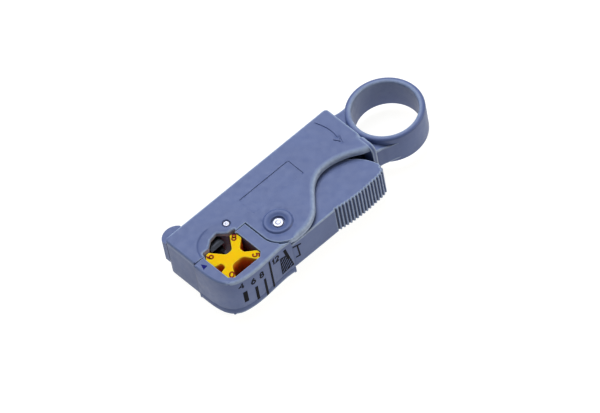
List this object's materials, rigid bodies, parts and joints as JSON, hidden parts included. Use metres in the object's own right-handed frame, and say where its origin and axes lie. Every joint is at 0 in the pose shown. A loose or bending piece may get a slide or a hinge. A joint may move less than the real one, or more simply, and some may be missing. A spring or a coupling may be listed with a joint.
{
  "type": "rotary coaxial cable stripper",
  "caption": "Hand-held rotary cable stripper with a finger ring, a sprung thumb lever, a reversible V-block jaw and adjustable stacked blades.",
  "frame": {"origin": "bottom centre of the bounding box, on the back face", "axes": "+X from the nose to the finger ring, +Y from the thumb lever to the long back edge, +Z out of the front face along the cable"},
  "size_m": [0.1048, 0.0378, 0.0179],
  "materials": {
    "body_plastic": "blue-grey moulded, satin",
    "v_block_plastic": "yellow moulded, slight gloss",
    "ink": "dark navy printing",
    "steel": "turned",
    "blade_steel": "ground",
    "spring_steel": "drawn",
    "brass": "turned"
  },
  "bodies": {
    "body": {"body": "body_plastic", "finger_ring": "body_plastic", "pivot_pin": "steel", "pivot_washers": "steel", "blade_cassette": "body_plastic", "cassette_pin": "steel", "lever_spring": "spring_steel"},
    "lever": {"jaw_lever": "body_plastic", "pivot_bush": "brass", "scale_print": "ink", "v_block_clip": "spring_steel"},
    "v_block": {"v_block": "v_block_plastic"},
    "slider_1": {"slider_1": "brass", "blade_1": "blade_steel"},
    "slider_2": {"slider_2": "brass", "blade_2": "blade_steel"},
    "slider_3": {"slider_3": "brass", "blade_3": "blade_steel"},
    "adjuster_1": {"adjuster_1": "spring_steel"},
    "adjuster_2": {"adjuster_2": "spring_steel"},
    "adjuster_3": {"adjuster_3": "spring_steel"}
  },
  "joints": [
    {"name": "lever_hinge", "type": "hinge", "parent": "body", "child": "lever", "pos_m": [-0.0204, -0.00855, 0.00875], "axis": [0, 0, 1], "range_deg": [0, 10], "stiffness_Nm_per_rad": 0.67, "springref_deg": -22.92, "deforming": ["lever_spring"]},
    {"name": "v_block_lift", "type": "slide", "parent": "lever", "child": "v_block", "axis": [0, 0, 1], "range_m": [0, 0.017]},
    {"name": "adjuster_1_turn", "type": "hinge", "parent": "body", "child": "adjuster_1", "pos_m": [-0.0401, 0.01455, 0.00445], "axis": [0, 1, 0], "range_deg": [0, 1800]},
    {"name": "blade_1_feed", "type": "slide", "parent": "body", "child": "slider_1", "axis": [0, -1, 0], "range_m": [0, 0.002]},
    {"name": "adjuster_2_turn", "type": "hinge", "parent": "body", "child": "adjuster_2", "pos_m": [-0.0401, 0.01455, 0.00845], "axis": [0, 1, 0], "range_deg": [0, 1800]},
    {"name": "blade_2_feed", "type": "slide", "parent": "body", "child": "slider_2", "axis": [0, -1, 0], "range_m": [0, 0.002]},
    {"name": "adjuster_3_turn", "type": "hinge", "parent": "body", "child": "adjuster_3", "pos_m": [-0.0401, 0.01455, 0.01245], "axis": [0, 1, 0], "range_deg": [0, 1800]},
    {"name": "blade_3_feed", "type": "slide", "parent": "body", "child": "slider_3", "axis": [0, -1, 0], "range_m": [0, 0.002]}
  ],
  "couplings": [
    {"joint": "adjuster_1_turn", "follows": "blade_1_feed", "rad_per_m": 15708},
    {"joint": "adjuster_2_turn", "follows": "blade_2_feed", "rad_per_m": 15708},
    {"joint": "adjuster_3_turn", "follows": "blade_3_feed", "rad_per_m": 15708}
  ]
}
